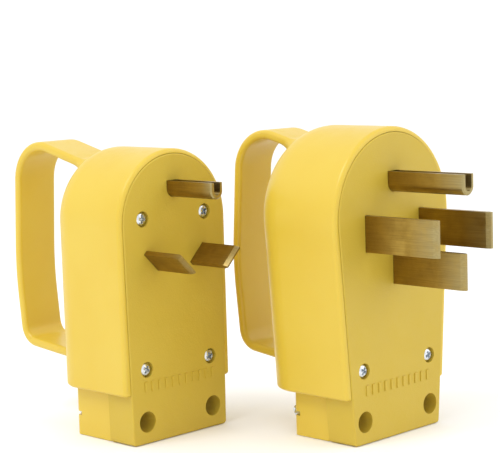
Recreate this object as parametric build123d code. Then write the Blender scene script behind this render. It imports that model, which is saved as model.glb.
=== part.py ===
from build123d import *
import os
from dataclasses import dataclass

# A pair of grip-handled trailer supply plugs, a 50 A four-pole one and a 30 A three-pole one,
# standing upright on their cord clamps. Millimetres. Each plug is drawn in its own frame:
# X across the face, +Y from the face back to the handle, Z up, with the foot of the face at
# y = 0, z = 0. The set's origin is the middle of the floor under both plugs.


@dataclass
class Size:
    """Every size that differs between the two plugs."""
    name: str
    # rear shell
    arch_radius: float      # round top of the shell, seen from the front
    arch_height: float      # height of that round's centre
    low_half: float         # half the shell's width at its lower edge
    shell_low: float        # height of the shell's lower edge
    shell_depth: float      # from the face to the shell's back
    back_round: float       # round where the sides turn into the back
    rim: float              # shell rim beside the face plate
    # strap handle, measured to its outside
    strap_reach: float      # furthest back
    bulge_height: float     # height at which it is furthest back
    top_corner: tuple       # upper corner before rounding: depth, and rise over the shell's top
    top_drop: float         # strap's top under the shell's top, just inside the shell's back
    low_corner: tuple       # lower corner before rounding: depth, and rise over the shell's edge
    low_rise: float         # strap's underside over the shell's lower edge, where it goes in
    # face plate and cord clamp
    foot_half: float        # half the plate's width at its foot
    jaw_depth: float        # front jaw, from the face back
    clamp_back: float       # back of the rear jaw, from the face
    cord_radius: float      # round of the cord passage
    cord_depth: float       # from the face to the cord's middle
    clamp_screw_half: float
    clamp_screw_height: float
    # screws in the face: (half spacing, height) of each row of two
    face_screw_rows: tuple
    # contacts
    blade_width: float
    blade_thick: float
    blade_reach: float      # how far the blades stand out of the face
    blades: tuple           # (name, x, z, tilt in degrees) of each blade
    pin_width: float
    pin_height: float
    pin_middle: float       # height of the ground pin's middle
    pin_reach: float
    retainer_spots: tuple   # (x, z) of the two screws that hold the blade retainer


blade_gap_50 = 29.6         # between the middles of the two upright line blades
line_height_50 = 73.7
pin_middle_50 = 90.8

plug50 = Size(
    name="plug50",
    arch_radius=31.5, arch_height=78.5, low_half=27.0, shell_low=16.5,
    shell_depth=41.5, back_round=14.0, rim=2.0,
    strap_reach=73.0, bulge_height=58.0, top_corner=(69.0, 2.6), top_drop=6.8,
    low_corner=(69.8, 8.5), low_rise=4.3,
    foot_half=23.35, jaw_depth=12.5, clamp_back=30.1, cord_radius=12.0, cord_depth=15.4,
    clamp_screw_half=18.1, clamp_screw_height=7.9,
    face_screw_rows=((18.1, 25.9),),
    blade_width=12.7, blade_thick=2.3, blade_reach=31.0,
    blades=(("line_left", -blade_gap_50 / 2, line_height_50, 0.0),
            ("line_right", blade_gap_50 / 2, line_height_50, 0.0),
            ("neutral", 0.0, 60.9, 0.0)),
    pin_width=6.4, pin_height=7.3, pin_middle=pin_middle_50, pin_reach=32.3,
    retainer_spots=((-blade_gap_50 / 3, (line_height_50 + pin_middle_50) / 2 + 1.5),
                    (blade_gap_50 / 3, (line_height_50 + pin_middle_50) / 2 + 1.5)))

blade_gap_30 = 22.1         # between the middles of the two canted blades
blade_height_30 = 65.0
cant = 45.0                 # each blade leans outwards at its top

plug30 = Size(
    name="plug30",
    arch_radius=26.0, arch_height=78.0, low_half=25.9, shell_low=18.0,
    shell_depth=40.0, back_round=12.0, rim=1.8,
    strap_reach=83.1, bulge_height=55.0, top_corner=(79.7, 5.6), top_drop=6.6,
    low_corner=(80.1, 8.2), low_rise=3.7,
    foot_half=22.85, jaw_depth=12.9, clamp_back=32.7, cord_radius=9.5, cord_depth=15.0,
    clamp_screw_half=16.2, clamp_screw_height=7.8,
    face_screw_rows=((15.05, 80.1), (15.55, 26.55)),
    blade_width=9.0, blade_thick=1.8, blade_reach=18.5,
    blades=(("hot", -blade_gap_30 / 2, blade_height_30, cant),
            ("neutral", blade_gap_30 / 2, blade_height_30, -cant)),
    pin_width=5.9, pin_height=5.9, pin_middle=89.75, pin_reach=22.4,
    retainer_spots=((0.0, blade_height_30), (0.0, blade_height_30 + 12.0)))

# Where the small plug stands, to the left of and behind the large one.
pair_step_left = 48.0
pair_step_back = 62.0

# Shell and plate, both plugs
plate_thick = 5.0
plate_edge = 0.5            # round on the plate's front edge
foot_corner = 1.2           # round on the foot's outer corners
seam = 0.15                 # gap between the plate and whatever surrounds it
rim_setback = 0.4           # shell rim behind the face
rim_round = 1.5
wall = 3.0
floor_wall = 3.0
low_edge_round = 1.2        # round of the shell's lower edge
cord_hole_ease = 0.8        # cord hole in the shell's floor, wider than the clamp's
groove_rise = 6.0           # cord groove goes on up the back of the plate
boss_radius = 3.7           # posts that take the face screws

# Strap handle, both plugs
strap_width = 18.0
strap_thick = 3.4
strap_edge = 1.4
top_corner_round = 16.0
low_corner_round = 8.5
bulge_round = 120.0
strap_buried = 16.0         # how far the strap's drawing runs on into the shell
strap_kink = 8.0            # how far inside the shell's back its two ends turn level
top_blend = 8.0             # fillet where the strap's top leaves the shell
low_blend = 4.0             # fillet where its lower end leaves the shell

# Cord clamp, both plugs
jaw_gap = 0.8
jaw_inset = 0.8             # rear jaw narrower than the front jaw, each side
jaw_top_gap = 0.8           # under the shell
jaw_round = 2.2
front_jaw_gap = 0.3         # front jaw under the shell's floor
clamp_bore = 3.8            # round wells for the clamp screws' heads
clamp_seat = 4.0            # plastic left behind each well
clamp_screw_radius = 2.0
clamp_screw_ease = 0.06     # running fit of the clamp screws
clamp_head_radius = 3.5
clamp_head_height = 2.4
clamp_screw_end = 2.6       # screw end behind the rear jaw
nut_across = 7.0
nut_thick = 3.2
nut_ease = 0.15
notch_height = 1.6          # narrow notch from each nut's pocket to the jaw's side

# Face screws, both plugs
face_head_radius = 2.3
face_head_height = 1.6
face_head_well = 2.85       # radius of the well round each head
face_well_depth = 1.8
face_screw_radius = 1.6
face_screw_length = 18.0
screw_ease = 0.05

# Contacts, both plugs
slot_ease = 0.1             # contact in its slot
flange_margin = 1.6         # flange round each contact, behind the plate
flange_thick = 1.5
tip_bevel_face = 0.6        # bevel at a blade's tip, across its thickness
tip_bevel_length = 1.8      # the same bevel, along the blade
pin_wall = 1.5              # folded strip of the ground pin
pin_tip_bevel = 0.5
retainer_thick = 4.0
retainer_margin = 8.0       # retainer round each contact's middle
retainer_screw_radius = 1.2
retainer_head_radius = 2.4
retainer_head_height = 1.6
retainer_screw_bite = 3.2   # how far that screw goes into the plate

# Wire terminals, both plugs
lug_width = 10.6
lug_height = 11.0
lug_front_wall = 2.0
lug_window = 7.0            # clear depth for the wire
lug_side_wall = 1.7
lug_rear_wall = 3.4
saddle_thick = 1.6
saddle_ease = 0.3           # saddle beside the lug's walls
saddle_rest = 0.4           # saddle off the rear wall when the screw is slack
terminal_screw_radius = 2.4
terminal_neck_radius = 1.3  # reduced end that the saddle hangs on
neck_ease = 0.05
terminal_head_radius = 3.9
terminal_head_height = 2.4
terminal_head_off = 4.4     # head off the lug when the screw is slack

# Raised marks on the face, below the lower screws: plain bars, no lettering
mark_count = 11
mark_width = 1.3
mark_height = 3.6
mark_proud = 0.35
mark_rise = 0.6             # lower end of the bars above the shell's lower edge
marks_share = 0.72          # of the foot's width


def slab(drawing, front, back):
    """Stand a flat drawing upright and thicken it from y = front to y = back."""
    return extrude(Plane.XZ.offset(-front) * drawing, amount=front - back)


def rod(x, z, radius, front, back):
    """A round bar along Y."""
    return slab(Pos(x, z) * Circle(radius), front, back)


def arch(half, low, radius, height):
    """A round-topped outline: a flat foot joined to a circle by straight tangent sides."""
    foot = Line((-half, low), (half, low))
    top = Edge.make_circle(radius, Plane((0, height, 0)))
    return Sketch() + make_hull([foot, top])


def shell_outline(size):
    return arch(size.low_half, size.shell_low, size.arch_radius, size.arch_height)


def plate_outline(size, grown=0.0):
    return arch(size.foot_half + grown, 0, size.arch_radius - size.rim + grown, size.arch_height)


def face_screws_at(size):
    """Middles of the face screws."""
    return [(side * half, height) for half, height in size.face_screw_rows for side in (-1, 1)]


def clamp_screws_at(size):
    return [("left", -size.clamp_screw_half), ("right", size.clamp_screw_half)]


def upper_edges(block, depth, low):
    """Edges of an arch at one depth, all but its foot's."""
    edges = block.edges().filter_by_position(Axis.Y, depth - 0.01, depth + 0.01)
    return [edge for edge in edges if edge.center().Z > low + 0.5]


def block_with_round_back(outline, front, back, corner, low):
    """Thicken an arch and round its back edge all the way up, over and down."""
    block = slab(outline, front, back)
    return fillet(upper_edges(block, back, low), corner)


def strap(size):
    """The strap handle as a closed band: its front leg lies inside the shell."""
    buried = size.shell_depth - strap_buried
    kink = size.shell_depth - strap_kink
    shell_top = size.arch_height + size.arch_radius
    top_root = shell_top - size.top_drop
    low_root = size.shell_low + size.low_rise
    top_corner = (size.top_corner[0], shell_top + size.top_corner[1])
    low_corner = (size.low_corner[0], size.shell_low + size.low_corner[1])
    bulge = (size.strap_reach, size.bulge_height)
    outside = Polygon(
        (buried, top_root), (buried, low_root), (kink, low_root), low_corner, bulge,
        top_corner, (kink, top_root), align=None)
    rounds = [(top_corner, top_corner_round), (low_corner, low_corner_round),
              (bulge, bulge_round)]
    for corner, radius in rounds:
        vertex = outside.vertices().sort_by_distance(Vector(*corner))[0]
        outside = fillet(vertex, radius)
    band = outside - offset(outside, -strap_thick)
    solid = extrude(Plane.YZ * band, amount=strap_width / 2, both=True)
    sides = solid.faces().filter_by(Axis.X)
    return fillet(sides.edges(), strap_edge)


def near_level(edges, size, upper):
    """Those of some edges that lie in the upper or in the lower half of the shell."""
    middle = (size.arch_height + size.shell_low) / 2
    return [edge for edge in edges if (edge.center().Z > middle) == upper]


def rear_shell(size):
    """Hollow shell moulded in one with the strap handle and the screw posts."""
    outer = block_with_round_back(shell_outline(size), rim_setback, size.shell_depth,
                                  size.back_round, size.shell_low)
    outer = fillet(upper_edges(outer, rim_setback, size.shell_low), rim_round)
    outer = fillet(outer.edges().group_by(Axis.Z)[0], low_edge_round)
    handle = strap(size)
    whole = outer + handle
    roots = new_edges(outer, handle, combined=whole)
    whole = fillet(near_level(roots, size, True), top_blend)
    roots = new_edges(outer, handle, combined=whole)
    whole = fillet(near_level(roots, size, False), low_blend)
    cavity_outline = arch(size.low_half - wall, size.shell_low + floor_wall,
                          size.arch_radius - wall, size.arch_height)
    cavity = block_with_round_back(cavity_outline, 0, size.shell_depth - wall,
                                   size.back_round - wall, size.shell_low + floor_wall)
    pocket = slab(plate_outline(size, seam), -1, plate_thick + seam)
    posts = Part()
    for x, z in face_screws_at(size):
        post = rod(x, z, boss_radius, plate_thick + seam, size.shell_depth)
        post -= rod(x, z, face_screw_radius + screw_ease, 0,
                    face_well_depth + face_screw_length + 1)
        posts += post & outer
    cord_hole = cord_passage(size, size.cord_radius + cord_hole_ease,
                             size.shell_low - floor_wall, size.shell_low + 2 * floor_wall)
    return whole - cavity - pocket - cord_hole + posts


def contact_drawing(size, x, z, tilt):
    return Pos(x, z) * Rot(0, 0, tilt) * Rectangle(size.blade_thick, size.blade_width)


def pin_hull(size, margin):
    """Outline of the ground pin, round below and square above, grown by a margin."""
    radius = size.pin_width / 2
    bend = radius - size.pin_height / 2
    leg = size.pin_height / 2 - bend + margin
    outline = Pos(0, bend) * Circle(radius + margin)
    outline += Pos(0, bend + leg / 2) * Rectangle(2 * (radius + margin), leg)
    return Pos(0, size.pin_middle) * outline


def pin_drawing(size):
    """Section of the ground pin: a strip folded to a U that is open at the top."""
    radius = size.pin_width / 2
    bend = size.pin_middle + radius - size.pin_height / 2
    inside = radius - pin_wall
    groove = Pos(0, bend) * Circle(inside)
    groove += Pos(0, bend + size.pin_height) * Rectangle(2 * inside, 2 * size.pin_height)
    return pin_hull(size, 0) - groove


def contact_hull(size, x, z, tilt, margin):
    width = size.blade_thick + 2 * margin
    height = size.blade_width + 2 * margin
    return Pos(x, z) * Rot(0, 0, tilt) * Rectangle(width, height)


def hulls(size, margin):
    """Outline round every contact, the ground pin's last."""
    blades = [contact_hull(size, x, z, tilt, margin) for _, x, z, tilt in size.blades]
    return blades + [pin_hull(size, margin)]


def marks(size):
    """A row of plain raised bars low on the face."""
    pitch = 2 * size.foot_half * marks_share / (mark_count - 1)
    bars = Part()
    for number in range(mark_count):
        x = (number - (mark_count - 1) / 2) * pitch
        z = size.shell_low + mark_rise + mark_height / 2
        bars += slab(Pos(x, z) * Rectangle(mark_width, mark_height), -mark_proud, plate_edge)
    return bars


def cord_passage(size, radius, low, high):
    """Round passage for the cord, along Z."""
    return Pos(0, size.cord_depth, (low + high) / 2) * Cylinder(radius, high - low)


def face_plate(size):
    """Front plate with the contact slots, and the front half of the cord clamp as its foot."""
    plate = slab(plate_outline(size), 0, plate_thick)
    foot_corners = plate.edges().filter_by(Axis.Y).group_by(Axis.Z)[0]
    plate = fillet(foot_corners, foot_corner)
    front = plate.faces().sort_by(Axis.Y)[0]
    plate = fillet(front.edges(), plate_edge)
    jaw_top = size.shell_low - front_jaw_gap
    under_shell = Pos(0, jaw_top / 2) * Rectangle(4 * size.foot_half, jaw_top)
    jaw = slab(plate_outline(size) & under_shell, plate_thick - 1, size.jaw_depth)
    jaw = fillet(jaw.edges().filter_by(Axis.Y).group_by(Axis.Z)[0], foot_corner)
    plate += jaw
    plate -= cord_passage(size, size.cord_radius, -1, jaw_top)
    plate -= cord_passage(size, size.cord_radius + cord_hole_ease, jaw_top,
                          size.shell_low + groove_rise)
    for _, x in clamp_screws_at(size):
        z = size.clamp_screw_height
        plate -= rod(x, z, clamp_bore, -1, size.jaw_depth - clamp_seat)
        plate -= rod(x, z, clamp_screw_radius + clamp_screw_ease, -1, size.jaw_depth + 1)
    for x, z in face_screws_at(size):
        plate -= rod(x, z, face_head_well, -1, face_well_depth)
        plate -= rod(x, z, face_screw_radius + screw_ease, -1, plate_thick + 1)
    for slot in hulls(size, slot_ease):
        plate -= slab(slot, -1, plate_thick + 1)
    for x, z in size.retainer_spots:
        plate -= rod(x, z, retainer_screw_radius + screw_ease,
                     plate_thick - retainer_screw_bite - 0.3, plate_thick + 1)
    return plate + marks(size)


def rear_jaw(size):
    """Moving half of the cord clamp, with a pocket and a side notch for each nut."""
    low_front = size.jaw_depth + jaw_gap
    top = size.shell_low - jaw_top_gap
    half = size.foot_half - jaw_inset
    jaw = slab(Pos(0, top / 2) * Rectangle(2 * half, top), low_front, size.clamp_back)
    back_edges = jaw.faces().sort_by(Axis.Y)[-1].edges()
    rounded = [edge for edge in back_edges if edge.center().Z > 0.1]
    jaw = fillet(rounded, jaw_round)
    jaw -= cord_passage(size, size.cord_radius, -1, size.shell_low)
    for side, (_, x) in zip((-1, 1), clamp_screws_at(size)):
        z = size.clamp_screw_height
        jaw -= rod(x, z, clamp_screw_radius + clamp_screw_ease, 0, size.clamp_back + 1)
        pocket = RegularPolygon(nut_across / 2 + nut_ease, 6, major_radius=False)
        notch_middle = side * (abs(x) + half + 1) / 2
        pocket += Pos(notch_middle - x, 0) * Rectangle(half + 1 - abs(x), notch_height)
        jaw -= slab(Pos(x, z) * pocket, size.clamp_back - nut_thick, size.clamp_back + 1)
    return jaw


def cross_recess(x, z, head_radius, front, depth, facing):
    """Cross-shaped driver recess. facing is 1 where the head looks to -Y, -1 to +Y."""
    arm = Rectangle(0.42 * head_radius, 1.25 * head_radius)
    cross = arm + Rot(0, 0, 90) * arm
    return slab(Pos(x, z) * cross, front - 0.5 * facing, front + depth * facing)


def domed_screw(x, z, head_radius, head_height, radius, front, end):
    """Cross-head screw that looks to -Y, with a domed head."""
    head = rod(x, z, head_radius, front, front + head_height)
    rim = head.faces().sort_by(Axis.Y)[0].edges()
    head = fillet(rim, 0.55 * head_height)
    shank = rod(x, z, radius, front + head_height, end)
    tip = shank.faces().sort_by(Axis.Y)[-1].edges()
    shank = chamfer(tip, 0.3 * radius)
    return head + shank - cross_recess(x, z, head_radius, front, 0.7 * head_height, 1)


def face_screws(size):
    front = face_well_depth - face_head_height
    return [domed_screw(x, z, face_head_radius, face_head_height, face_screw_radius,
                        front, front + face_head_height + face_screw_length)
            for x, z in face_screws_at(size)]


def clamp_screw(size, x):
    front = size.jaw_depth - clamp_seat - clamp_head_height
    return domed_screw(x, size.clamp_screw_height, clamp_head_radius, clamp_head_height,
                       clamp_screw_radius, front, size.clamp_back + clamp_screw_end)


def clamp_nuts(size):
    nuts = []
    for _, x in clamp_screws_at(size):
        z = size.clamp_screw_height
        hexagon = RegularPolygon(nut_across / 2, 6, major_radius=False)
        nut = slab(Pos(x, z) * hexagon, size.clamp_back - nut_thick, size.clamp_back)
        nut -= rod(x, z, clamp_screw_radius + clamp_screw_ease, 0, size.clamp_back + 1)
        nuts.append(nut)
    return nuts


def blade(size, x, z, tilt):
    """Flat contact: a bevelled blade, a flange behind the plate and a short tail."""
    body = slab(contact_drawing(size, x, z, tilt), -size.blade_reach, plate_thick)
    tip = body.faces().sort_by(Axis.Y)[0]
    long_edges = tip.edges().sort_by(SortBy.LENGTH)[-2:]
    body = chamfer(long_edges, tip_bevel_face, tip_bevel_length, reference=tip)
    body += slab(contact_hull(size, x, z, tilt, flange_margin), plate_thick,
                 plate_thick + flange_thick)
    body += slab(contact_drawing(size, x, z, tilt), plate_thick, plate_thick + retainer_thick)
    return body


def ground_pin(size):
    """Folded U contact with the same flange and tail as the blades."""
    body = slab(pin_drawing(size), -size.pin_reach, plate_thick)
    tip = body.faces().sort_by(Axis.Y)[0]
    outer_bend = tip.edges().sort_by(SortBy.LENGTH)[-1]
    body = chamfer(outer_bend, pin_tip_bevel)
    body += slab(pin_hull(size, flange_margin), plate_thick, plate_thick + flange_thick)
    body += slab(pin_drawing(size), plate_thick, plate_thick + retainer_thick)
    return body


def contacts_at(size):
    """Name and middle of every contact."""
    return [(name, x, z) for name, x, z, _ in size.blades] + [("ground", 0.0, size.pin_middle)]


def blade_retainer(size):
    """Insulating plate behind the face plate that holds every contact by its flange."""
    rings = [Edge.make_circle(retainer_margin, Plane((x, z, 0))) for _, x, z in contacts_at(size)]
    plate = slab(Sketch() + make_hull(rings), plate_thick, plate_thick + retainer_thick)
    for flange in hulls(size, flange_margin + slot_ease):
        plate -= slab(flange, plate_thick - 1, plate_thick + flange_thick + slot_ease)
    for tail in hulls(size, slot_ease):
        plate -= slab(tail, plate_thick - 1, plate_thick + retainer_thick + 1)
    for x, z in size.retainer_spots:
        plate -= rod(x, z, retainer_screw_radius + screw_ease, 0, 2 * plate_thick + retainer_thick)
    for x, z in face_screws_at(size):
        plate -= rod(x, z, boss_radius + 2 * seam, 0, 2 * plate_thick + retainer_thick)
    return plate


def retainer_screws(size):
    """Two screws that look to +Y, from the retainer into the back of the plate."""
    seat = plate_thick + retainer_thick
    screws = []
    for x, z in size.retainer_spots:
        head = rod(x, z, retainer_head_radius, seat, seat + retainer_head_height)
        head = fillet(head.faces().sort_by(Axis.Y)[-1].edges(), 0.5 * retainer_head_height)
        shank = rod(x, z, retainer_screw_radius, plate_thick - retainer_screw_bite, seat)
        recess = cross_recess(x, z, retainer_head_radius, seat + retainer_head_height,
                              0.65 * retainer_head_height, -1)
        screws.append(head + shank - recess)
    return screws


lug_front = plate_thick + retainer_thick
window_front = lug_front + lug_front_wall
window_back = window_front + lug_window
lug_back = window_back + lug_rear_wall
saddle_back = window_back - saddle_rest


def wire_lug(x, z):
    """Brass block with an upright window for the wire and a threaded rear wall."""
    lug = slab(Pos(x, z) * Rectangle(lug_width, lug_height), lug_front, lug_back)
    lug = chamfer(lug.edges().filter_by(Axis.Y), 0.8)
    window = Pos(x, (window_front + window_back) / 2, z) * Box(
        lug_width - 2 * lug_side_wall, lug_window, 2 * lug_height)
    return lug - window - rod(x, z, terminal_screw_radius + screw_ease, window_back - 1,
                              lug_back + 1)


def saddle(x, z):
    """Pressure plate that the terminal screw pushes onto the wire."""
    width = lug_width - 2 * lug_side_wall - 2 * saddle_ease
    plate = slab(Pos(x, z) * Rectangle(width, lug_height - 1), saddle_back - saddle_thick,
                 saddle_back)
    plate = fillet(plate.edges().filter_by(Axis.Y), 0.8)
    return plate - rod(x, z, terminal_neck_radius + neck_ease, 0, lug_back)


def terminal_screw(x, z):
    """Terminal screw that looks to +Y, its neck carrying the saddle."""
    head_seat = lug_back + terminal_head_off
    head_top = head_seat + terminal_head_height
    neck = rod(x, z, terminal_neck_radius, saddle_back - saddle_thick, saddle_back + neck_ease)
    shank = rod(x, z, terminal_screw_radius, saddle_back + neck_ease, head_seat)
    head = rod(x, z, terminal_head_radius, head_seat, head_top)
    head = fillet(head.faces().sort_by(Axis.Y)[-1].edges(), 0.4 * terminal_head_height)
    slot = Rectangle(0.3 * terminal_head_radius, 3 * terminal_head_radius)
    return neck + shank + head - slab(Pos(x, z) * slot, head_top - 1.1, head_top + 1)


def parts_of(size):
    """Every node of one plug, by name."""
    nodes = {
        "rear_shell": [rear_shell(size)],
        "face_plate": [face_plate(size)],
        "rear_jaw": [rear_jaw(size)],
        "clamp_nuts": clamp_nuts(size),
        "face_screws": face_screws(size),
        "ground_pin": [ground_pin(size)],
        "blade_retainer": [blade_retainer(size)],
        "retainer_screws": retainer_screws(size),
    }
    for side, x in clamp_screws_at(size):
        nodes["clamp_screw_" + side] = [clamp_screw(size, x)]
    for name, x, z, tilt in size.blades:
        nodes[name + "_blade"] = [blade(size, x, z, tilt)]
    for name, x, z in contacts_at(size):
        nodes[name + "_lug"] = [wire_lug(x, z)]
        nodes[name + "_saddle"] = [saddle(x, z)]
        nodes[name + "_screw"] = [terminal_screw(x, z)]
    return nodes


# The set's box: the large plug reaches furthest right and forwards, the small one furthest
# left and back.
right = plug50.arch_radius
left = -pair_step_left - plug30.arch_radius
front = -plug50.pin_reach
back = pair_step_back + plug30.strap_reach
middle_x = (left + right) / 2
middle_y = (front + back) / 2
places = {
    "plug50": (-middle_x, -middle_y),
    "plug30": (-middle_x - pair_step_left, -middle_y + pair_step_back),
}

os.makedirs("parts", exist_ok=True)
for size in (plug50, plug30):
    x, y = places[size.name]
    print(size.name, "stands at x", round(x, 3), "y", round(y, 3))
    for node, solids in parts_of(size).items():
        moved = [Pos(x, y, 0) * solid for solid in solids]
        whole = moved[0] if len(moved) == 1 else Compound(children=moved)
        export_step(whole, f"parts/{size.name}_{node}.step")
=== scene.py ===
from math import cos, radians, sin, tau

import bmesh
import bpy
from mathutils import Matrix, Vector


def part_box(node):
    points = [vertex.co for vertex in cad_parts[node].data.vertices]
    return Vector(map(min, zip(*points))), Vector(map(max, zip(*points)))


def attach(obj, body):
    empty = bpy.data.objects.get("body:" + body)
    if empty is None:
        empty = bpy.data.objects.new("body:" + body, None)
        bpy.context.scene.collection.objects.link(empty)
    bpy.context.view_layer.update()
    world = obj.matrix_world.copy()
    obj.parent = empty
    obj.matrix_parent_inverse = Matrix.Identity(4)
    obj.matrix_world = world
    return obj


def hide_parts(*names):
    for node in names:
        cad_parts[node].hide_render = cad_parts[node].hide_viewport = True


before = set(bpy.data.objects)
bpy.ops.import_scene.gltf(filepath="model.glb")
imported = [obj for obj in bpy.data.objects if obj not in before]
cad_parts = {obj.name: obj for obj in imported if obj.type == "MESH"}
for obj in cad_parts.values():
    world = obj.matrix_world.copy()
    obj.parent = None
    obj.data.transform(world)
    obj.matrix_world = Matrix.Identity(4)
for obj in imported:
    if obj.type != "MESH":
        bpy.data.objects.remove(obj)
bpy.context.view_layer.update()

plugs = ("plug50", "plug30")


# ---- Studio: camera, lights and floor --------------------------------------------------------
# A product shot on a pale sweep: the large plug is seen from its left front, a little above,
# under a broad soft light from the upper left with a weak fill from the right.

def look_at(eye, target):
    """A matrix at eye whose -Z axis points at target."""
    turn = (Vector(target) - Vector(eye)).to_track_quat("-Z", "Y")
    return Matrix.Translation(Vector(eye)) @ turn.to_matrix().to_4x4()


def foot_of(plug):
    """Middle of a plug's foot, in the plane of its face."""
    low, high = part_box(plug + "_face_plate")
    raised_marks = 0.00035
    return Vector(((low[0] + high[0]) / 2, low[1] + raised_marks, 0.0))


yaw = radians(45.48)
pitch = radians(6.68)
roll = radians(-1.75)
camera_from_foot = Vector((-0.4351, -0.3565, 0.1419))
lens_mm = 115.54

forward = Vector((cos(pitch) * sin(yaw), cos(pitch) * cos(yaw), -sin(pitch)))
level_right = forward.cross(Vector((0, 0, 1))).normalized()
level_up = level_right.cross(forward)
right = cos(roll) * level_right + sin(roll) * level_up
up = -sin(roll) * level_right + cos(roll) * level_up
camera_data = bpy.data.cameras.new("camera")
camera_data.lens = lens_mm
camera_data.sensor_width = 36.0
camera_data.clip_start = 0.01
camera = bpy.data.objects.new("camera", camera_data)
camera.matrix_world = Matrix((right, up, -forward)).transposed().to_4x4()
camera.location = foot_of("plug50") + camera_from_foot
bpy.context.scene.collection.objects.link(camera)
bpy.context.scene.camera = camera


def soft_light(name, place, aim, width, watts, colour):
    """A square area light at place, turned towards aim."""
    data = bpy.data.lights.new(name, "AREA")
    data.shape = "SQUARE"
    data.size = width
    data.energy = watts
    data.color = colour
    lamp = bpy.data.objects.new(name, data)
    lamp.matrix_world = look_at(place, aim)
    bpy.context.scene.collection.objects.link(lamp)


middle = (0.0, 0.0, 0.06)
soft_light("key", (-0.72, 0.05, 1.12), middle, 0.5, 5.8, (1.0, 0.99, 0.97))
soft_light("fill", (0.6, -0.75, 0.5), middle, 0.8, 1.5, (0.98, 0.99, 1.0))

world = bpy.data.worlds.new("studio")
world.use_nodes = True
background = world.node_tree.nodes["Background"]
background.inputs["Color"].default_value = (1.0, 1.0, 1.0, 1.0)
background.inputs["Strength"].default_value = 1.12
bpy.context.scene.world = world
bpy.context.scene.view_settings.view_transform = "Standard"

floor_half = 40.0
floor_below = 0.0002         # keeps the floor clear of the plugs' feet
floor_mesh = bpy.data.meshes.new("floor")
floor_mesh.from_pydata(
    [(-floor_half, -floor_half, 0), (floor_half, -floor_half, 0),
     (floor_half, floor_half, 0), (-floor_half, floor_half, 0)], [], [(0, 1, 2, 3)])
floor = bpy.data.objects.new("floor", floor_mesh)
floor.location.z = -floor_below
bpy.context.scene.collection.objects.link(floor)
floor_paint = bpy.data.materials.new("pale_floor")
floor_paint.use_nodes = True
floor_surface = floor_paint.node_tree.nodes["Principled BSDF"]
floor_surface.inputs["Base Color"].default_value = (0.94, 0.94, 0.94, 1)
floor_surface.inputs["Roughness"].default_value = 0.8
floor_mesh.materials.append(floor_paint)


# ---- Rear shells with their strap handles ----------------------------------------------------
# Injection-moulded yellow PVC, satin from a fine-sparked mould: an almost even skin with faint
# orange peel, slightly paler where light goes through thin edges, and a few rubbed scuffs.

def group(name, inputs, outputs):
    """An empty shader node group with its named sockets, and its input and output nodes."""
    tree = bpy.data.node_groups.new(name, "ShaderNodeTree")
    for label, kind, value in inputs:
        socket = tree.interface.new_socket(label, in_out="INPUT", socket_type=kind)
        socket.default_value = value
    for label, kind in outputs:
        tree.interface.new_socket(label, in_out="OUTPUT", socket_type=kind)
    return tree, tree.nodes.new("NodeGroupInput"), tree.nodes.new("NodeGroupOutput")


def add(tree, kind, **settings):
    """A node with its properties set; a setting given as a dict sets input sockets by name."""
    node = tree.nodes.new(kind)
    for label, value in settings.pop("sockets", {}).items():
        node.inputs[label].default_value = value
    for label, value in settings.items():
        setattr(node, label, value)
    return node


def colour_mix(tree, factor, first, second):
    """Mix of two colours; each argument is a socket or a value."""
    node = add(tree, "ShaderNodeMix", data_type="RGBA")
    wanted = ((node.inputs[0], factor), (node.inputs[6], first), (node.inputs[7], second))
    for socket, value in wanted:
        if isinstance(value, bpy.types.NodeSocket):
            tree.links.new(value, socket)
        else:
            socket.default_value = value
    return node.outputs[2]


def remap(tree, value, low, high, to_low, to_high):
    """A socket's range low..high stretched to to_low..to_high."""
    node = add(tree, "ShaderNodeMapRange", sockets={
        "From Min": low, "From Max": high, "To Min": to_low, "To Max": to_high})
    tree.links.new(value, node.inputs["Value"])
    return node.outputs["Result"]


def noise(tree, place, scale, detail=4.0, roughness=0.5):
    """Noise read at a place, as one value."""
    node = add(tree, "ShaderNodeTexNoise", sockets={
        "Scale": scale, "Detail": detail, "Roughness": roughness})
    tree.links.new(place, node.inputs["Vector"])
    return node.outputs["Fac"]


surface_outputs = [("Colour", "NodeSocketColor"), ("Roughness", "NodeSocketFloat"),
                   ("Height", "NodeSocketFloat")]


def moulded_skin():
    """Moulded plastic: colour drift, spark texture height and roughness drift."""
    tree, given, result = group(
        "moulded_skin",
        [("Colour", "NodeSocketColor", (0.8, 0.6, 0.1, 1)),
         ("Deep Colour", "NodeSocketColor", (0.7, 0.5, 0.05, 1)),
         ("Grain Scale", "NodeSocketFloat", 1500.0),
         ("Roughness", "NodeSocketFloat", 0.4)],
        surface_outputs)
    place = add(tree, "ShaderNodeTexCoord").outputs["Object"]
    drift = noise(tree, place, 28.0, 3.0)
    cloud = remap(tree, drift, 0.35, 0.7, 0.0, 1.0)
    tree.links.new(colour_mix(tree, cloud, given.outputs["Colour"], given.outputs["Deep Colour"]),
                   result.inputs["Colour"])
    grain = add(tree, "ShaderNodeTexNoise", sockets={"Detail": 3.0, "Roughness": 0.6})
    tree.links.new(place, grain.inputs["Vector"])
    tree.links.new(given.outputs["Grain Scale"], grain.inputs["Scale"])
    peel = noise(tree, place, 170.0, 2.0)
    height = add(tree, "ShaderNodeMath", operation="ADD")
    tree.links.new(remap(tree, grain.outputs["Fac"], 0.3, 0.7, 0.0, 0.35), height.inputs[0])
    tree.links.new(remap(tree, peel, 0.3, 0.7, 0.0, 0.65), height.inputs[1])
    tree.links.new(height.outputs[0], result.inputs["Height"])
    rub = remap(tree, noise(tree, place, 95.0, 6.0, 0.65), 0.45, 0.75, -0.03, 0.1)
    rough = add(tree, "ShaderNodeMath", operation="ADD")
    tree.links.new(given.outputs["Roughness"], rough.inputs[0])
    tree.links.new(rub, rough.inputs[1])
    tree.links.new(rough.outputs[0], result.inputs["Roughness"])
    return tree


skin_group = moulded_skin()


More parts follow.
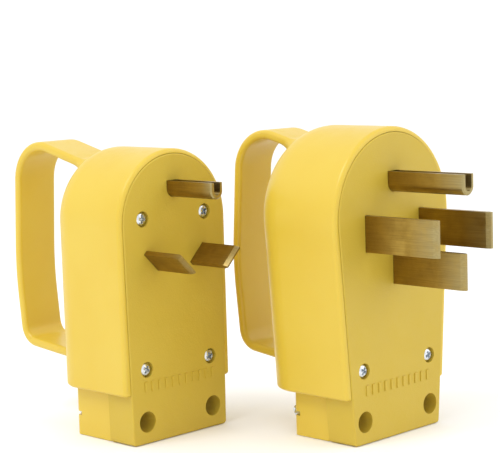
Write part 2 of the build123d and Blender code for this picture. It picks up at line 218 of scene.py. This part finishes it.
def finish_with(name, tree, values, bump_strength, bump_distance, fixed):
    """A material whose colour, roughness and height come from a node group."""
    material = bpy.data.materials.new(name)
    material.use_nodes = True
    nodes = material.node_tree
    principled = nodes.nodes["Principled BSDF"]
    for label, value in fixed.items():
        principled.inputs[label].default_value = value
    effect = add(nodes, "ShaderNodeGroup", node_tree=tree)
    for label, value in values.items():
        effect.inputs[label].default_value = value
    bump = add(nodes, "ShaderNodeBump",
               sockets={"Strength": bump_strength, "Distance": bump_distance})
    nodes.links.new(effect.outputs["Colour"], principled.inputs["Base Color"])
    nodes.links.new(effect.outputs["Roughness"], principled.inputs["Roughness"])
    nodes.links.new(effect.outputs["Height"], bump.inputs["Height"])
    nodes.links.new(bump.outputs["Normal"], principled.inputs["Normal"])
    return material


def paint(node, material):
    """Give a CAD node one material all over."""
    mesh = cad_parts[node].data
    mesh.materials.clear()
    mesh.materials.append(material)


shell_yellow = (0.66, 0.475, 0.052, 1)
shell_deep = (0.64, 0.445, 0.036, 1)
shell_plastic = finish_with(
    "yellow_shell_plastic", skin_group,
    {"Colour": shell_yellow, "Deep Colour": shell_deep, "Grain Scale": 1400.0, "Roughness": 0.36},
    0.35, 0.00012,
    {"Specular IOR Level": 0.5, "Subsurface Weight": 0.12, "Subsurface Scale": 0.002,
     "Subsurface Radius": (1.0, 0.6, 0.15)})
for plug in plugs:
    paint(plug + "_rear_shell", shell_plastic)


# ---- Face plates and cord clamps -------------------------------------------------------------
# The same plastic from a more heavily sparked tool: the flat faces have a fine even grain and
# hardly any shine. Their yellow is the shell's yellow darkened by about a sixth, which is painted
# shade for the front face that turns away from the key light. The rear jaw of each clamp is
# smooth like the shell.

# painted shade: both plate colours are the shell's yellows darkened by about a sixth
plate_plastic = finish_with(
    "yellow_plate_plastic", skin_group,
    {"Colour": (0.56, 0.40, 0.043, 1), "Deep Colour": (0.54, 0.38, 0.036, 1),
     "Grain Scale": 1900.0, "Roughness": 0.5},
    0.6, 0.00016,
    {"Specular IOR Level": 0.4, "Subsurface Weight": 0.1, "Subsurface Scale": 0.002,
     "Subsurface Radius": (1.0, 0.6, 0.15)})
for plug in plugs:
    paint(plug + "_face_plate", plate_plastic)
    paint(plug + "_rear_jaw", shell_plastic)


# ---- Blades and ground pins ------------------------------------------------------------------
# Half-hard brass strip, sheared and bevelled, gone dull and brownish in store, with rolling
# lines along the strip and a paler rubbed zone towards the tip.

def rolled_brass():
    """Dull rolled brass: lines along Y, tarnish clouds and a rubbed end."""
    tree, given, result = group(
        "rolled_brass",
        [("Colour", "NodeSocketColor", (0.4, 0.3, 0.1, 1)),
         ("Rubbed Colour", "NodeSocketColor", (0.6, 0.55, 0.4, 1)),
         ("Tip", "NodeSocketFloat", -0.03), ("Rubbed Length", "NodeSocketFloat", 0.01)],
        surface_outputs)
    place = add(tree, "ShaderNodeTexCoord").outputs["Object"]
    stretch = add(tree, "ShaderNodeMapping", sockets={"Scale": (1.0, 0.03, 1.0)})
    tree.links.new(place, stretch.inputs["Vector"])
    lines = noise(tree, stretch.outputs["Vector"], 2600.0, 3.0, 0.6)
    clouds = noise(tree, place, 160.0, 5.0, 0.6)
    split = add(tree, "ShaderNodeSeparateXYZ")
    tree.links.new(place, split.inputs["Vector"])
    from_tip = add(tree, "ShaderNodeMath", operation="SUBTRACT")
    tree.links.new(split.outputs["Y"], from_tip.inputs[0])
    tree.links.new(given.outputs["Tip"], from_tip.inputs[1])
    along = add(tree, "ShaderNodeMath", operation="DIVIDE")
    tree.links.new(from_tip.outputs[0], along.inputs[0])
    tree.links.new(given.outputs["Rubbed Length"], along.inputs[1])
    rubbed = remap(tree, along.outputs[0], 0.0, 1.0, 1.0, 0.0)
    broken = add(tree, "ShaderNodeMath", operation="MULTIPLY")
    tree.links.new(rubbed, broken.inputs[0])
    tree.links.new(remap(tree, clouds, 0.3, 0.6, 0.45, 1.0), broken.inputs[1])
    tarnished = colour_mix(tree, remap(tree, clouds, 0.35, 0.7, 0.0, 0.55),
                           given.outputs["Colour"], (0.20, 0.115, 0.02, 1))
    worn = colour_mix(tree, broken.outputs[0], tarnished, given.outputs["Rubbed Colour"])
    shade = add(tree, "ShaderNodeHueSaturation")
    tree.links.new(worn, shade.inputs["Color"])
    tree.links.new(remap(tree, lines, 0.3, 0.7, 0.86, 1.12), shade.inputs["Value"])
    tree.links.new(shade.outputs["Color"], result.inputs["Colour"])
    tree.links.new(remap(tree, clouds, 0.3, 0.7, 0.30, 0.44), result.inputs["Roughness"])
    tree.links.new(lines, result.inputs["Height"])
    return tree


brass_group = rolled_brass()
rubbed_length = {"plug50": 0.012, "plug30": 0.005}
for plug in plugs:
    contacts = [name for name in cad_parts
                if name.startswith(plug) and name.endswith(("_blade", "_ground_pin"))]
    for name in contacts:
        contact_brass = finish_with(
            "brass_" + name, brass_group,
            {"Colour": (0.36, 0.235, 0.05, 1), "Rubbed Colour": (0.37, 0.30, 0.135, 1),
             "Tip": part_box(name)[0][1], "Rubbed Length": rubbed_length[plug]},
            0.25, 0.00003, {"Metallic": 1.0})
        paint(name, contact_brass)


# ---- Screws in the face and in the cord clamp ------------------------------------------------
# Zinc-plated steel pan-head screws with a tapered cross recess. Each is turned from one bar: a
# domed head, a recess punched into it and a rolled thread that shows behind the rear jaw.

def zinc_plate():
    """Bright zinc: faint blue-grey clouds over fine turning marks."""
    tree, given, result = group(
        "zinc_plate",
        [("Colour", "NodeSocketColor", (0.7, 0.73, 0.76, 1)),
         ("Roughness", "NodeSocketFloat", 0.22)],
        surface_outputs)
    place = add(tree, "ShaderNodeTexCoord").outputs["Object"]
    clouds = noise(tree, place, 420.0, 4.0)
    tree.links.new(colour_mix(tree, remap(tree, clouds, 0.35, 0.7, 0.0, 0.5),
                              given.outputs["Colour"], (0.50, 0.56, 0.63, 1)),
                   result.inputs["Colour"])
    spread = add(tree, "ShaderNodeMath", operation="ADD")
    tree.links.new(given.outputs["Roughness"], spread.inputs[0])
    tree.links.new(remap(tree, clouds, 0.3, 0.7, -0.05, 0.08), spread.inputs[1])
    tree.links.new(spread.outputs[0], result.inputs["Roughness"])
    tree.links.new(noise(tree, place, 3000.0, 2.0), result.inputs["Height"])
    return tree


zinc_group = zinc_plate()
zinc = finish_with("bright_zinc", zinc_group, {"Colour": (0.72, 0.75, 0.78, 1), "Roughness": 0.22},
                   0.15, 0.00002, {"Metallic": 1.0})


def solids_of(node):
    """Lowest and highest corner of each separate solid in a CAD node."""
    shape = bmesh.new()
    shape.from_mesh(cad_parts[node].data)
    bmesh.ops.remove_doubles(shape, verts=shape.verts, dist=1e-7)
    left = set(shape.verts)
    boxes = []
    while left:
        island = [left.pop()]
        for vert in island:
            for edge in vert.link_edges:
                other = edge.other_vert(vert)
                if other in left:
                    left.remove(other)
                    island.append(other)
        corners = [[pick(vert.co[axis] for vert in island) for axis in range(3)]
                   for pick in (min, max)]
        boxes.append((Vector(corners[0]), Vector(corners[1])))
    shape.free()
    return boxes


def ring_surface(shape, rings):
    """Skin a list of equal rings of points, in order, and close both ends to their middles."""
    loops = [[shape.verts.new(point) for point in ring] for ring in rings]
    count = len(loops[0])
    for lower, upper in zip(loops, loops[1:]):
        for step in range(count):
            nxt = (step + 1) % count
            shape.faces.new((lower[step], lower[nxt], upper[nxt], upper[step]))
    for loop, flip in ((loops[0], True), (loops[-1], False)):
        shape.faces.new(loop[::-1] if flip else loop)


def cross_depth(across, along, depth, arm_half, arm_reach, taper):
    """How deep a tapered cross recess is at a point of the head: 0 outside it."""
    best = 0.0
    for side, length in ((across, along), (along, across)):
        wall = min((arm_half - abs(side)) / taper, (arm_reach - abs(length)) / taper)
        best = max(best, min(depth, wall))
    return max(0.0, best)


def cross_head_screw(shape, centre_x, centre_z, front, head_radius, head_height, shank_radius,
                     end, pitch, thread_from, turned):
    """Add one screw that looks to -Y: domed head with a cross recess, and a rolled thread."""
    sides = 96
    head_rings = 30
    recess_depth = 0.85 * head_height
    arm_half = 0.20 * head_radius
    arm_reach = 0.62 * head_radius
    taper = 0.18
    edge_drop = 0.42 * head_height

    def dome(radius):
        return edge_drop * (radius / head_radius) ** 3

    rings = []
    for number in range(1, head_rings + 1):
        radius = head_radius * number / head_rings
        ring = []
        for step in range(sides):
            angle = tau * step / sides
            across = radius * cos(angle + turned)
            along = radius * sin(angle + turned)
            sunk = cross_depth(across, along, recess_depth, arm_half, arm_reach, taper)
            depth = front + max(dome(radius), min(sunk + dome(radius), recess_depth))
            ring.append(Vector((centre_x + radius * cos(angle), depth,
                                centre_z + radius * sin(angle))))
        rings.append(ring)

    def plain_ring(radius, depth):
        return [Vector((centre_x + radius * cos(tau * step / sides), depth,
                        centre_z + radius * sin(tau * step / sides))) for step in range(sides)]

    rings.append(plain_ring(head_radius, front + 0.93 * head_height))
    rings.append(plain_ring(0.97 * head_radius, front + head_height))
    rings.append(plain_ring(shank_radius * 0.96, front + head_height))
    rings.append(plain_ring(shank_radius * 0.96, thread_from))
    thread_depth = 0.16 * shank_radius
    end_taper = 0.12 * shank_radius
    steps = max(2, int((end - thread_from) / pitch * 12))
    for number in range(steps + 1):
        depth = thread_from + (end - thread_from) * number / steps
        fade = min(1.0, (end - depth) / (1.2 * pitch))
        ring = []
        for step in range(sides):
            angle = tau * step / sides
            phase = ((depth - thread_from) / pitch + step / sides) % 1.0
            flank = 1.0 - abs(2.0 * phase - 1.0)
            radius = shank_radius - thread_depth * (1.0 - flank) - end_taper * (1.0 - fade)
            ring.append(Vector((centre_x + radius * cos(angle), depth,
                                centre_z + radius * sin(angle))))
        rings.append(ring)
    ring_surface(shape, rings)


def finished_piece(name, shape, material, body, nodes):
    """Turn a bmesh into a smooth piece that stands for CAD nodes and rides on their body."""
    bmesh.ops.recalc_face_normals(shape, faces=shape.faces)
    mesh = bpy.data.meshes.new(name)
    shape.to_mesh(mesh)
    shape.free()
    mesh.materials.append(material)
    mesh.shade_smooth()
    mesh.set_sharp_from_angle(angle=radians(38))
    piece = bpy.data.objects.new(name, mesh)
    bpy.context.scene.collection.objects.link(piece)
    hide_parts(*nodes)
    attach(piece, body)
    return piece


face_head_height = 0.0016
face_shank_radius = 0.0016
face_thread_from = 0.004        # behind the front of the head
face_thread_pitch = 0.0012
clamp_head_height = 0.0024
clamp_shank_radius = 0.002
clamp_thread_length = 0.012
clamp_thread_pitch = 0.0007
recess_turns = (0.5, 1.2, 0.15, 0.9)      # how each screw's cross happened to stop
clamp_recess_turns = (("left", 0.35), ("right", 1.0))

for plug in plugs:
    shape = bmesh.new()
    screws = sorted(solids_of(plug + "_face_screws"),
                    key=lambda box: (round(box[0].z, 4), box[0].x))
    for turned, (low, high) in zip(recess_turns, screws):
        centre = (low + high) / 2
        head = (high.x - low.x) / 2
        cross_head_screw(shape, centre.x, centre.z, low.y, head, face_head_height,
                         face_shank_radius, high.y, face_thread_pitch,
                         low.y + face_thread_from, turned)
    finished_piece(plug + "_cross_head_face_screws", shape, zinc, plug,
                   [plug + "_face_screws"])
    for side, turned in clamp_recess_turns:
        node = plug + "_clamp_screw_" + side
        low, high = (Vector(corner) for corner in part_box(node))
        centre = (low + high) / 2
        shape = bmesh.new()
        cross_head_screw(shape, centre.x, centre.z, low.y, (high.x - low.x) / 2,
                         clamp_head_height, clamp_shank_radius, high.y, clamp_thread_pitch,
                         high.y - clamp_thread_length, turned)
        finished_piece(node + "_threaded", shape, zinc, node, [node])
    paint(plug + "_clamp_nuts", zinc)
    paint(plug + "_retainer_screws", zinc)


# ---- Terminals behind the face ---------------------------------------------------------------
# Machined brass lugs with zinc saddles; the terminal screws tell the wires apart: brass for the
# line side, plain for the neutral, green for the ground. All are hidden inside the shell.

lug_brass = finish_with(
    "machined_brass", brass_group,
    {"Colour": (0.62, 0.45, 0.17, 1), "Rubbed Colour": (0.7, 0.55, 0.3, 1), "Tip": -1.0,
     "Rubbed Length": 0.01},
    0.2, 0.00003, {"Metallic": 1.0})
green_dip = finish_with(
    "green_passivated_steel", zinc_group,
    {"Colour": (0.05, 0.26, 0.11, 1), "Roughness": 0.3},
    0.15, 0.00002, {"Metallic": 0.7})
insulator = finish_with(
    "black_insulator", skin_group,
    {"Colour": (0.022, 0.022, 0.024, 1), "Deep Colour": (0.03, 0.03, 0.03, 1),
     "Grain Scale": 1200.0, "Roughness": 0.5}, 0.4, 0.0001, {"Specular IOR Level": 0.4})

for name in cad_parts:
    if name.endswith(("_lug", "_line_left_screw", "_line_right_screw", "_hot_screw")):
        paint(name, lug_brass)
    elif name.endswith(("_saddle", "neutral_screw")):
        paint(name, zinc)
    elif name.endswith("ground_screw"):
        paint(name, green_dip)
    elif name.endswith("_blade_retainer"):
        paint(name, insulator)
